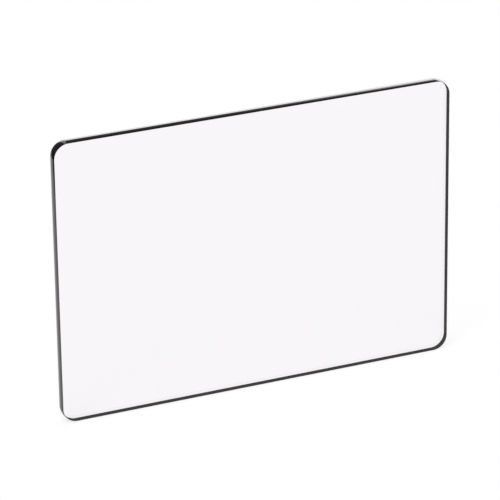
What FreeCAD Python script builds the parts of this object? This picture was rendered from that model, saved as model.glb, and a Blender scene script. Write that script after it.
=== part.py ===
import FreeCAD, Part

import math
import os

import Sketcher

# Glass insert of a medium-format negative carrier: a clear pane whose ground edge is blackened.
#
# The pane stands on its long edge. X runs along its width, Y through its thickness and Z up its height.
# The front face looks along -Y, and the origin is the middle of the bottom edge.

PANE = "glass_pane"
BLACKING = "edge_blacking"

# Driving dimensions in millimetres. The outside sizes are those of the finished pane with its blacking.
# The crown is how far the middle of the edge stands out beyond the two faces. The allowance is what
# grinding takes off the blank all round, and the overrun is how far the wheel reaches past the blank.
DIMENSIONS = {
    "outside_width": "100",
    "outside_height": "70",
    "outside_thickness": "2.6",
    "corner_radius": "3.7",
    "edge_crown": "0.16",
    "blacking_depth": "0.02",
    "grinding_allowance": "0.5",
    "wheel_overrun": "0.3",
}

# Radius of the circle whose arc is as wide as the pane is thick and as high as the crown.
CROWN_RADIUS = "(sizes.outside_thickness ^ 2 / (8 * sizes.edge_crown) + sizes.edge_crown / 2)"

# Largest errors allowed in a finished size (mm) and in the volume of glass and coat together (mm3).
SIZE_TOLERANCE = 0.0001
VOLUME_TOLERANCE = 0.001

document = FreeCAD.newDocument("carrier_glass")


def add_dimensions():
    """Fill the spreadsheet that every sketch and feature reads."""
    sheet = document.addObject("Spreadsheet::Sheet", "sizes")
    for row, (alias, value) in enumerate(DIMENSIONS.items(), start=1):
        sheet.set(f"A{row}", alias)
        sheet.set(f"B{row}", value)
        sheet.setAlias(f"B{row}", alias)
    document.recompute()
    return sheet


def add_sketch(body, name, role):
    """Add an empty sketch on one of the body's own origin planes, found by its role."""
    plane = next(plane for plane in body.Origin.OriginFeatures if plane.Role == role)
    sketch = body.newObject("Sketcher::SketchObject", name)
    sketch.AttachmentSupport = [(plane, "")]
    sketch.MapMode = "FlatFace"
    return sketch


def drive(sketch, sizes):
    """Bind named constraints of a sketch: each name has the constraint's number and its expression."""
    for name, (constraint, expression) in sizes.items():
        sketch.renameConstraint(constraint, name)
        sketch.setExpression(f"Constraints.{name}", expression)


def draw_line(sketch, start, end):
    return sketch.addGeometry(Part.LineSegment(FreeCAD.Vector(*start, 0), FreeCAD.Vector(*end, 0)), False)


def draw_arc(sketch, centre, radius, first, last):
    """Draw an arc between two angles given in degrees."""
    circle = Part.Circle(FreeCAD.Vector(*centre, 0), FreeCAD.Vector(0, 0, 1), radius)
    return sketch.addGeometry(Part.ArcOfCircle(circle, math.radians(first), math.radians(last)), False)


def draw_blank(sketch):
    """Draw the blank's outline about the origin: a rectangle with round corners."""
    right, top, radius = 40.0, 30.0, 4.0
    bottom = draw_line(sketch, (radius - right, -top), (right - radius, -top))
    right_side = draw_line(sketch, (right, radius - top), (right, top - radius))
    top_side = draw_line(sketch, (right - radius, top), (radius - right, top))
    left_side = draw_line(sketch, (-right, top - radius), (-right, radius - top))
    sides = [bottom, right_side, top_side, left_side]

    arcs = []
    for corner, (across, up) in enumerate([(1, -1), (1, 1), (-1, 1), (-1, -1)]):
        centre = (across * (right - radius), up * (top - radius))
        arcs.append(draw_arc(sketch, centre, radius, 90 * (corner - 1), 90 * corner))

    for side, arc, next_side in zip(sides, arcs, sides[1:] + sides[:1]):
        sketch.addConstraint(Sketcher.Constraint("Tangent", side, 2, arc, 1))
        sketch.addConstraint(Sketcher.Constraint("Tangent", arc, 2, next_side, 1))
    for arc in arcs[1:]:
        sketch.addConstraint(Sketcher.Constraint("Equal", arcs[0], arc))
    for side in (bottom, top_side):
        sketch.addConstraint(Sketcher.Constraint("Horizontal", side))
    for side in (right_side, left_side):
        sketch.addConstraint(Sketcher.Constraint("Vertical", side))
    sketch.addConstraint(Sketcher.Constraint("Symmetric", bottom, 1, top_side, 1, -1, 1))

    width = sketch.addConstraint(Sketcher.Constraint("DistanceX", left_side, 1, right_side, 1, 2 * right))
    height = sketch.addConstraint(Sketcher.Constraint("DistanceY", bottom, 1, top_side, 1, 2 * top))
    corner = sketch.addConstraint(Sketcher.Constraint("Radius", arcs[0], radius))
    drive(
        sketch,
        {
            "width": (width, "sizes.outside_width + 2 * sizes.grinding_allowance"),
            "height": (height, "sizes.outside_height + 2 * sizes.grinding_allowance"),
            "corner": (corner, "sizes.corner_radius + sizes.grinding_allowance"),
        },
    )


def draw_wheel(sketch, depth):
    """Draw the section that the grinding wheel sweeps away at the bottom edge, across the thickness.

    Its upper side is the hollow that leaves the crown. `depth` is the expression for how far inside the
    outside size it grinds.
    """
    half, low, centre, radius = 2.0, -36.0, -30.0, 5.0
    side = math.degrees(math.asin(half / radius))
    end = centre - math.sqrt(radius**2 - half**2)
    hollow = draw_arc(sketch, (0, centre), radius, 270 - side, 270 + side)
    rear = draw_line(sketch, (half, end), (half, low))
    base = draw_line(sketch, (half, low), (-half, low))
    front = draw_line(sketch, (-half, low), (-half, end))

    for first, second in ((rear, base), (base, front)):
        sketch.addConstraint(Sketcher.Constraint("Coincident", first, 2, second, 1))
    sketch.addConstraint(Sketcher.Constraint("Coincident", hollow, 2, rear, 1))
    sketch.addConstraint(Sketcher.Constraint("Coincident", front, 2, hollow, 1))
    sketch.addConstraint(Sketcher.Constraint("Vertical", rear))
    sketch.addConstraint(Sketcher.Constraint("Vertical", front))
    sketch.addConstraint(Sketcher.Constraint("Symmetric", base, 1, base, 2, -2))
    sketch.addConstraint(Sketcher.Constraint("PointOnObject", hollow, 3, -2))

    width = sketch.addConstraint(Sketcher.Constraint("DistanceX", base, 2, base, 1, 2 * half))
    bottom = sketch.addConstraint(Sketcher.Constraint("DistanceY", base, 1, -1, 1, -low))
    curve = sketch.addConstraint(Sketcher.Constraint("Radius", hollow, radius))
    middle = sketch.addConstraint(Sketcher.Constraint("DistanceY", hollow, 3, -1, 1, -centre))
    reach = "sizes.grinding_allowance + sizes.wheel_overrun"
    drive(
        sketch,
        {
            "width": (width, "sizes.outside_thickness + 2 * sizes.wheel_overrun"),
            "bottom": (bottom, f"sizes.outside_height / 2 + {reach}"),
            "curve": (curve, f"{CROWN_RADIUS} - {depth}"),
            "middle": (middle, f"sizes.outside_height / 2 - {CROWN_RADIUS}"),
        },
    )


def make_plate(name, depth):
    """Make an upright plate: a flat blank whose edge is ground to a crown, `depth` inside the outside."""
    body = document.addObject("PartDesign::Body", name)
    body.Label = name
    body.setExpression("Placement.Base.z", "sizes.outside_height / 2")

    outline = add_sketch(body, f"{name}_blank", "XZ_Plane")
    draw_blank(outline)
    pad = body.newObject("PartDesign::Pad", f"{name}_thickness")
    pad.Profile = outline
    pad.SideType = "Symmetric"
    pad.setExpression("Length", "sizes.outside_thickness")
    document.recompute()

    section = add_sketch(body, f"{name}_wheel", "YZ_Plane")
    draw_wheel(section, depth)
    grinding = body.newObject("PartDesign::SubtractivePipe", f"{name}_grinding")
    grinding.Profile = section
    grinding.Spine = (outline, [])
    body.Tip = grinding
    document.recompute()
    return body


def make_blacking(pane):
    """The coat on the edge: what is left of the finished plate once the glass is taken out of it."""
    plate = make_plate("finished_plate", "0")
    coat = document.addObject("Part::Cut", BLACKING)
    coat.Label = BLACKING
    coat.Base = plate
    coat.Tool = pane
    document.recompute()
    return plate, coat


def check(sheet, plate, pane, coat):
    """Stop if an object failed, if a size is wrong, or if glass and coat don't fill the plate."""
    for item in document.Objects:
        failed = {"Invalid", "Error"} & set(item.State)
        if failed:
            raise RuntimeError(f"{item.Label} is {failed}")
    for item in (plate, pane, coat):
        if item.Shape.isNull() or not item.Shape.isValid():
            raise RuntimeError(f"{item.Label} has no valid shape")
        if len(item.Shape.Solids) != 1:
            raise RuntimeError(f"{item.Label} has {len(item.Shape.Solids)} solids")

    for item, inset in ((plate, 0), (pane, sheet.blacking_depth)):
        box = item.Shape.optimalBoundingBox()
        wanted = (
            (box.XLength, sheet.outside_width - 2 * inset),
            (box.YLength, sheet.outside_thickness),
            (box.ZLength, sheet.outside_height - 2 * inset),
        )
        for found, expected in wanted:
            if abs(found - expected) > SIZE_TOLERANCE:
                raise RuntimeError(f"{item.Label} measures {found:.4f} and not {expected:.4f}")
    missing = plate.Shape.Volume - pane.Shape.Volume - coat.Shape.Volume
    if abs(missing) > VOLUME_TOLERANCE:
        raise RuntimeError(f"glass and coat miss {missing:.4f} cubic millimetres of the plate")


def export(pieces):
    """Write each piece to a STEP file named after its node and print its size."""
    os.makedirs("parts", exist_ok=True)
    for piece in pieces:
        piece.Shape.exportStep(f"parts/{piece.Label}.step")
        box = piece.Shape.optimalBoundingBox()
        print(
            f"{piece.Label}: {box.XLength:.2f} x {box.YLength:.2f} x {box.ZLength:.2f} mm, "
            f"lowest {box.ZMin:.3f} mm, {piece.Shape.Volume:.1f} cubic mm"
        )


dimensions = add_dimensions()
pane_body = make_plate(PANE, "sizes.blacking_depth")
finished_plate, edge_coat = make_blacking(pane_body)
check(dimensions, finished_plate, pane_body, edge_coat)
export([pane_body, edge_coat])
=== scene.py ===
# %% [markdown]
# # A glass insert for a negative carrier
# A darkroom enlarger holds the negative in a carrier, and a pane of clear glass keeps the film flat.
# The pane is plain: two polished faces, round corners, and an edge that is ground and painted black so
# that no light strays through it. A plain object is a hard one, because nothing hides its edge. So this
# lesson spends its effort on three things: a true edge section, paint that is in contact with glass, and
# light that lets clear glass be seen on white.

# %% Load the frame
import math

import bmesh
import bpy
from mathutils import Matrix, Vector


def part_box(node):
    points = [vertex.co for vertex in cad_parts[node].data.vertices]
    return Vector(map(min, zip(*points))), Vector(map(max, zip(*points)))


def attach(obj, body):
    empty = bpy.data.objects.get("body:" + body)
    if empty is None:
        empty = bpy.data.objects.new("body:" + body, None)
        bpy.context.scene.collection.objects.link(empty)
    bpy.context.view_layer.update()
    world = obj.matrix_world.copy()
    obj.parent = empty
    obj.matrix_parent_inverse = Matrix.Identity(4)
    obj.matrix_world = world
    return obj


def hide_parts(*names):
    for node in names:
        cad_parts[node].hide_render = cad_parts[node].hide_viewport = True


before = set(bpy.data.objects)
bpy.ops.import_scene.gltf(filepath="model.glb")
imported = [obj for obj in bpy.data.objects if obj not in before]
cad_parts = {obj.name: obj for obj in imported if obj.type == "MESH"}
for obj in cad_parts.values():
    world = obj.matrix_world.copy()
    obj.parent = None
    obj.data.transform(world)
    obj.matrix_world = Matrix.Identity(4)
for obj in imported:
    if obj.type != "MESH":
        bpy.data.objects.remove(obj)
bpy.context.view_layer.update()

# %% [markdown]
# ## Sizes
# The outside sizes and the depth of the paint come from the two CAD pieces, so the meshes below fit them
# without any adjusting. Only what a box can't tell is named here: the corner radius, the crown, which is
# how far the middle of the ground edge stands out beyond the two faces, and the hair's breadth that is
# taken off where the edge meets a face.

# %% Sizes
MILLIMETRE = 0.001
CORNER_RADIUS = 3.7 * MILLIMETRE
EDGE_CROWN = 0.16 * MILLIMETRE
SHARPNESS_OFF = 0.01 * MILLIMETRE

outside_low, outside_high = (Vector(corner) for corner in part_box("edge_blacking"))
glass_low = Vector(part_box("glass_pane")[0])
outside = outside_high - outside_low
centre = (outside_low + outside_high) / 2
paint_depth = glass_low.x - outside_low.x
print("outside in millimetres:", [round(size / MILLIMETRE, 3) for size in outside])
print("paint depth in millimetres:", round(paint_depth / MILLIMETRE, 3))

# %% [markdown]
# ## A plate with a true edge
# The real pane is cut from sheet, its corners are ground round, and then a hollow wheel runs round the
# edge and leaves it crowned. The mesh takes the same path. One square face gets its corners rounded by a
# vertex bevel, is extruded to the thickness and cut into strips through the wall. Each strip then moves
# in a little towards the faces, which makes the crown, and an edge bevel takes off the sharpness. A
# modifier stack could do it as well, but then the paint could not follow the same section exactly.

# %% Plate helpers
CORNER_SEGMENTS = 28
WALL_CUTS = 9
RIM_SEGMENTS = 4


def wall_direction(x, y, half_width, half_height, radius):
    """Outward direction of the wall at a point of the outline."""
    core_x = max(radius - half_width, min(half_width - radius, x))
    core_y = max(radius - half_height, min(half_height - radius, y))
    return Vector((x - core_x, y - core_y, 0)).normalized()


def broadest_faces(bm):
    """The two largest faces of a plate, which are its front and its rear."""
    return sorted(bm.faces, key=lambda f: f.calc_area())[-2:]


def add_plate(bm, inset):
    """Add a closed plate to bm, its wall `inset` inside the outside size, and return its two broad faces.

    The sharpness comes off at 45 degrees. For that cut to run `inset` inside the outside one too, the
    width taken off grows by the inset times the tangent of half that angle.
    """
    width = outside.x - 2 * inset
    height = outside.z - 2 * inset
    thickness = outside.y
    radius = CORNER_RADIUS - inset

    sheet = bmesh.ops.create_grid(bm, x_segments=1, y_segments=1, size=0.5)
    bmesh.ops.scale(bm, vec=(width, height, 1), verts=sheet["verts"])
    bmesh.ops.bevel(
        bm, geom=sheet["verts"], offset=radius, offset_type="OFFSET", affect="VERTICES",
        segments=CORNER_SEGMENTS, profile=0.5, material=-1,
    )
    bmesh.ops.translate(bm, vec=(0, 0, -thickness / 2), verts=bm.verts)
    raised = bmesh.ops.extrude_face_region(bm, geom=bm.faces[:], use_keep_orig=True)["geom"]
    bmesh.ops.translate(
        bm, vec=(0, 0, thickness), verts=[g for g in raised if isinstance(g, bmesh.types.BMVert)]
    )
    walls = [e for e in bm.edges if abs(e.verts[0].co.z - e.verts[1].co.z) > thickness / 2]
    bmesh.ops.subdivide_edges(bm, edges=walls, cuts=WALL_CUTS, use_grid_fill=True)

    for v in bm.verts:
        towards_face = v.co.z / (thickness / 2)
        out = wall_direction(v.co.x, v.co.y, width / 2, height / 2, radius)
        v.co -= out * EDGE_CROWN * towards_face**2

    rims = [e for f in broadest_faces(bm) for e in f.edges]
    bmesh.ops.bevel(
        bm, geom=rims, offset=SHARPNESS_OFF + inset * math.tan(math.radians(45 / 2)),
        offset_type="OFFSET", affect="EDGES", segments=RIM_SEGMENTS, profile=0.5, material=-1,
    )
    return broadest_faces(bm)


def stand_up(bm):
    """Turn a plate that lies in XY so that it stands on its long edge with its front towards -Y."""
    bmesh.ops.rotate(bm, cent=(0, 0, 0), matrix=Matrix.Rotation(math.pi / 2, 3, "X"), verts=bm.verts)
    bmesh.ops.translate(bm, vec=centre, verts=bm.verts)


def finish_piece(bm, name, materials):
    """Make an object of bm, with its normals out and its wall smooth, and say how large it is."""
    bmesh.ops.recalc_face_normals(bm, faces=bm.faces)
    mesh = bpy.data.meshes.new(name)
    bm.to_mesh(mesh)
    open_edges = sum(1 for e in bm.edges if len(e.link_faces) != 2)
    volume = bm.calc_volume(signed=True)
    bm.free()
    piece = bpy.data.objects.new(name, mesh)
    bpy.context.scene.collection.objects.link(piece)
    for material in materials:
        mesh.materials.append(material)
    print(f"{name}: {len(mesh.polygons)} faces, {open_edges} open edges, {volume * 1e9:.1f} cubic mm")
    return piece


# %% [markdown]
# ## Node helpers
# Each finish of the pane is a Principled shader with a few pattern nodes in front of it. Such recipes
# could be clicked together by hand, but written down they can be read and changed. These two helpers keep
# them short: one starts an empty material, the other makes a node, sets its values and joins its inputs.

# %% Node helpers
def new_material(name):
    material = bpy.data.materials.new(name)
    material.use_nodes = True
    material.node_tree.nodes.clear()
    return material


def node(material, kind, inputs=None, **settings):
    """Add a node to a material or to the world. An input is a value or another node's output."""
    made = material.node_tree.nodes.new(kind)
    for name, value in settings.items():
        setattr(made, name, value)
    for name, value in (inputs or {}).items():
        if isinstance(value, bpy.types.NodeSocket):
            material.node_tree.links.new(value, made.inputs[name])
        else:
            made.inputs[name].default_value = value
    return made


# %% [markdown]
# ## Clear glass
# Polished float glass bends light by 1.52 and is almost without colour. Its faces aren't optically flat:
# a wave of a few centimetres runs through it, which shows only where something bright mirrors in it. A
# renderer lets no lamp light through bent glass unless it traces caustics, so rays that carry light to
# the floor pass straight through instead.

# %% Clear glass
GLASS_IOR = 1.52
GLASS_TINT = (0.942, 0.914, 0.942, 1.0)
LIGHT_LET_THROUGH = (0.99, 0.98, 0.99, 1.0)


def clear_glass():
    material = new_material("clear_glass")
    place = node(material, "ShaderNodeTexCoord").outputs["Object"]
    wave = node(
        material, "ShaderNodeTexNoise", {"Vector": place, "Scale": 22.0, "Detail": 1.0, "Roughness": 0.4}
    )
    bump = node(
        material, "ShaderNodeBump",
        {"Height": wave.outputs["Fac"], "Strength": 0.02, "Distance": 0.0005},
    )
    glass = node(
        material, "ShaderNodeBsdfPrincipled",
        {
            "Base Color": GLASS_TINT, "Roughness": 0.0, "IOR": GLASS_IOR,
            "Transmission Weight": 1.0, "Normal": bump.outputs["Normal"],
        },
    )
    through = node(material, "ShaderNodeBsdfTransparent", {"Color": LIGHT_LET_THROUGH})
    path = node(material, "ShaderNodeLightPath")
    light_only = node(
        material, "ShaderNodeMath", {0: path.outputs["Is Shadow Ray"], 1: path.outputs["Is Diffuse Ray"]},
        operation="MAXIMUM",
    )
    mix = node(
        material, "ShaderNodeMixShader",
        {0: light_only.outputs[0], 1: glass.outputs[0], 2: through.outputs[0]},
    )
    node(material, "ShaderNodeOutputMaterial", {"Surface": mix.outputs[0]})
    return material


# %% [markdown]
# ## Black paint seen through the glass
# Where paint wets glass there is no air between them, so nothing mirrors there and the light goes into
# the black. That is why the far edges of the pane look black from the front. A coat modelled in contact
# with the glass would say the same, but two surfaces in one place flicker. So the wall of the pane itself
# gets this dull black with no gloss at all, slightly mottled by the ground surface that holds the paint.

# %% Paint behind glass
def paint_behind_glass():
    material = new_material("paint_behind_glass")
    place = node(material, "ShaderNodeTexCoord").outputs["Object"]
    grain = node(
        material, "ShaderNodeTexNoise", {"Vector": place, "Scale": 9000.0, "Detail": 3.0, "Roughness": 0.6}
    )
    shade = node(material, "ShaderNodeValToRGB", {"Fac": grain.outputs["Fac"]})
    shade.color_ramp.elements[0].color = (0.002, 0.002, 0.002, 1.0)
    shade.color_ramp.elements[1].color = (0.008, 0.008, 0.008, 1.0)
    paint = node(
        material, "ShaderNodeBsdfPrincipled",
        {"Base Color": shade.outputs["Color"], "Roughness": 1.0, "Specular IOR Level": 0.0},
    )
    node(material, "ShaderNodeOutputMaterial", {"Surface": paint.outputs[0]})
    return material


# %% [markdown]
# ## Black lacquer from outside
# The lacquer is brushed on along the edge. It dries glossy, with faint ripples along the stroke, and it
# is a little duller where it lies thin. The ripples are a few hundredths of a millimetre high. They could
# be cut into the mesh, but a bump is finer and costs nothing.

# %% Black lacquer
def black_lacquer():
    material = new_material("black_lacquer")
    place = node(material, "ShaderNodeTexCoord").outputs["Object"]
    along = node(material, "ShaderNodeMapping", {"Vector": place, "Scale": (120.0, 2600.0, 120.0)})
    strokes = node(
        material, "ShaderNodeTexNoise",
        {"Vector": along.outputs["Vector"], "Scale": 1.0, "Detail": 3.0, "Roughness": 0.5},
    )
    gloss = node(
        material, "ShaderNodeMapRange",
        {"Value": strokes.outputs["Fac"], "To Min": 0.05, "To Max": 0.14},
    )
    shade = node(material, "ShaderNodeValToRGB", {"Fac": strokes.outputs["Fac"]})
    shade.color_ramp.elements[0].color = (0.002, 0.002, 0.002, 1.0)
    shade.color_ramp.elements[1].color = (0.005, 0.005, 0.005, 1.0)
    bump = node(
        material, "ShaderNodeBump",
        {"Height": strokes.outputs["Fac"], "Strength": 0.15, "Distance": 0.00002},
    )
    paint = node(
        material, "ShaderNodeBsdfPrincipled",
        {
            "Base Color": shade.outputs["Color"], "Roughness": gloss.outputs["Result"], "IOR": 1.5,
            "Normal": bump.outputs["Normal"],
        },
    )
    node(material, "ShaderNodeOutputMaterial", {"Surface": paint.outputs[0]})
    return material


# %% [markdown]
# ## The pane
# The glass itself: the plate above, one paint depth smaller all round. Its two faces are clear and all
# the rest of it is where the paint touches it. The CAD solid could be kept, but here the wall needs a
# smooth shade and a material of its own.

# %% The pane
bm = bmesh.new()
faces = add_plate(bm, paint_depth)
for face in bm.faces:
    face.material_index = 0 if face in faces else 1
    face.smooth = face not in faces
stand_up(bm)
pane = finish_piece(bm, "clear_pane", [clear_glass(), paint_behind_glass()])
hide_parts("glass_pane")
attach(pane, "root")

# %% [markdown]
# ## The blacking
# The paint is a thin band round the crowned edge, flush with both faces. It could be swept round the
# outline, but a plate of the outside size that loses its two broad faces has the right section already,
# and solidify gives it its depth. A hair of air stays between paint and glass, so that the two surfaces
# never flicker through each other.

# %% The blacking
AIR = 0.002 * MILLIMETRE

bm = bmesh.new()
bmesh.ops.delete(bm, geom=add_plate(bm, 0.0), context="FACES_ONLY")
bmesh.ops.recalc_face_normals(bm, faces=bm.faces)
bmesh.ops.solidify(bm, geom=bm.faces[:], thickness=paint_depth - AIR)
for face in bm.faces:
    face.smooth = True
stand_up(bm)
blacking = finish_piece(bm, "black_edge", [black_lacquer()])
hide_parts("edge_blacking")
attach(blacking, "root")

# %% [markdown]
# ## Floor
# Clear glass has no colour to show, so it is shown by what lies behind it. The floor is a plain pale
# sheet that glows, like the opal top of a light table. The glow keeps it even, and its plain white part
# still takes a soft shadow where the pane stands.

# %% Floor
FLOOR_HALF = 3.0
FLOOR_COLOUR = (0.3, 0.3, 0.3, 1.0)
FLOOR_GLOW = 0.771
WHITE = (1.0, 1.0, 1.0, 1.0)


def pale_floor():
    material = new_material("pale_floor")
    sheet = node(material, "ShaderNodeBsdfDiffuse", {"Color": FLOOR_COLOUR})
    glow = node(material, "ShaderNodeEmission", {"Color": WHITE, "Strength": FLOOR_GLOW})
    both = node(material, "ShaderNodeAddShader", {0: sheet.outputs[0], 1: glow.outputs[0]})
    node(material, "ShaderNodeOutputMaterial", {"Surface": both.outputs[0]})
    return material


bm = bmesh.new()
bmesh.ops.create_grid(bm, x_segments=1, y_segments=1, size=FLOOR_HALF)
floor = finish_piece(bm, "floor", [pale_floor()])

# %% [markdown]
# ## What the lacquer mirrors
# Black lacquer has no colour of its own, so its whole look is the room that it mirrors. The room here is
# dim. Behind the pane are a low wide window on the right and a tall soft box next to it, and across its
# few millimetres the crowned edge turns from the dark overhead to the bright window. Lamps could do
# this, but patches painted on the world stay the same size for every point of the edge. Looked at
# directly or through the glass, the world is a plain white backdrop, so clear glass stays on white from
# every side.

# %% World
ROOM = 0.17
BACKDROP = 1.0
PATCH_SOFTNESS = math.radians(3)

# name: azimuths from +Y towards +X and elevations, both in degrees, and brightness
PATCHES = {
    "window": ((17, 80), (4, 17), 3.3),
    "window_head": ((26, 80), (17, 26), 3.0),
    "sill": ((17, 80), (-4, 4), 1.5),
    "tall_box": ((3, 17), (2, 60), 1.45),
}

world = bpy.data.worlds.new("studio")
bpy.context.scene.world = world
world.use_nodes = True
world.node_tree.nodes.clear()


def maths(operation, first, second=0.0):
    return node(world, "ShaderNodeMath", {0: first, 1: second}, operation=operation).outputs[0]


def soft_band(angle, limits):
    """1 where an angle lies between two limits in degrees, 0 outside, and smooth at both ends."""
    low, high = (math.radians(limit) for limit in limits)
    ends = [
        node(
            world, "ShaderNodeMapRange",
            {"Value": angle, "From Min": edge - PATCH_SOFTNESS, "From Max": edge + PATCH_SOFTNESS,
             "To Min": start, "To Max": 1.0 - start},
            interpolation_type="SMOOTHSTEP",
        ).outputs["Result"]
        for edge, start in ((low, 0.0), (high, 1.0))
    ]
    return maths("MULTIPLY", *ends)


direction = node(world, "ShaderNodeTexCoord").outputs["Generated"]
toward = node(world, "ShaderNodeSeparateXYZ", {"Vector": direction}).outputs
azimuth = maths("ARCTAN2", toward["X"], toward["Y"])
elevation = maths("ARCSINE", toward["Z"])
light = ROOM
for azimuths, elevations, brightness in PATCHES.values():
    patch = maths("MULTIPLY", soft_band(azimuth, azimuths), soft_band(elevation, elevations))
    light = maths("ADD", light, maths("MULTIPLY", patch, brightness))
path = node(world, "ShaderNodeLightPath").outputs
looked_at = maths("MAXIMUM", path["Is Camera Ray"], path["Is Transmission Ray"])
room = node(world, "ShaderNodeBackground", {"Color": WHITE, "Strength": light})
plain = node(world, "ShaderNodeBackground", {"Color": WHITE, "Strength": BACKDROP})
either = node(world, "ShaderNodeMixShader", {0: looked_at, 1: room.outputs[0], 2: plain.outputs[0]})
node(world, "ShaderNodeOutputWorld", {"Surface": either.outputs[0]})
print("patches in the room:", list(PATCHES))

# %% [markdown]
# ## Lamp and flag
# One large soft box above the camera's left shoulder lights the floor. A black card, which a studio calls
# a flag, stands behind on the left. It hides the far part of the white floor from the lacquer, so the
# round corner turns black at once where it leaves the vertical edge. A smaller floor would do that too,
# but it would show in other views. Only mirrored rays see the card.

# %% Lamp and flag
KEY_PLACE = (-2.4, -4.0, 6.4)
KEY_SIZE = 6.0
KEY_POWER = 440
FLAG_HEIGHT = 0.08
FLAG_PATH = [(-0.15, 0.0), (-0.15, 0.2), (-0.2, 0.45), (0.0, 0.55)]


def soft_box(name, place, aim, size, power):
    lamp = bpy.data.lights.new(name, "AREA")
    lamp.shape = "SQUARE"
    lamp.size = size
    lamp.energy = power
    box = bpy.data.objects.new(name, lamp)
    box.location = place
    box.rotation_euler = (Vector(aim) - Vector(place)).to_track_quat("-Z", "Y").to_euler()
    bpy.context.scene.collection.objects.link(box)
    print(f"{name}: {size} m square, {power} W")


soft_box("key", KEY_PLACE, centre, KEY_SIZE, KEY_POWER)


def black_card():
    material = new_material("black_card")
    card = node(material, "ShaderNodeBsdfDiffuse", {"Color": (0.08, 0.08, 0.08, 1.0)})
    node(material, "ShaderNodeOutputMaterial", {"Surface": card.outputs[0]})
    return material


bm = bmesh.new()
feet = [bm.verts.new((x, y, 0)) for x, y in FLAG_PATH]
for near, far in zip(feet, feet[1:]):
    bm.edges.new((near, far))
wall = bmesh.ops.extrude_edge_only(bm, edges=bm.edges[:])["geom"]
bmesh.ops.translate(
    bm, vec=(0, 0, FLAG_HEIGHT), verts=[g for g in wall if isinstance(g, bmesh.types.BMVert)]
)
flag = finish_piece(bm, "flag", [black_card()])
for ray in ("camera", "diffuse", "transmission", "shadow"):
    setattr(flag, f"visible_{ray}", False)

# %% [markdown]
# ## Camera
# A long lens stands off to the left of the pane and looks down on it a little. From there the near wall
# and the top wall are seen from outside, and the two far walls through the glass. A shorter lens could
# stand nearer, but then the far side would shrink more against the near one.

# %% Camera
AZIMUTH = math.radians(-23.23)
ELEVATION = math.radians(23.33)
ROLL = math.radians(0.74)
DISTANCE = 0.80727
AIM_ACROSS = -1.99 * MILLIMETRE
AIM_UP = 0.524 * MILLIMETRE
LENS_LENGTH = 248.0
SENSOR_WIDTH = 36.0

aim = Vector((centre.x + AIM_ACROSS, outside_low.y, centre.z + AIM_UP))
back = Vector(
    (
        math.sin(AZIMUTH) * math.cos(ELEVATION),
        -math.cos(AZIMUTH) * math.cos(ELEVATION),
        math.sin(ELEVATION),
    )
)
lens = bpy.data.cameras.new("camera")
lens.sensor_width = SENSOR_WIDTH
lens.lens = LENS_LENGTH
camera = bpy.data.objects.new("camera", lens)
turn = (-back).to_track_quat("-Z", "Y").to_matrix() @ Matrix.Rotation(-ROLL, 3, "Z")
camera.matrix_world = Matrix.Translation(aim + back * DISTANCE) @ turn.to_4x4()
bpy.context.scene.collection.objects.link(camera)
bpy.context.scene.camera = camera
bpy.context.scene.view_settings.view_transform = "Standard"
print("camera stands in metres:", [round(size, 3) for size in camera.location])
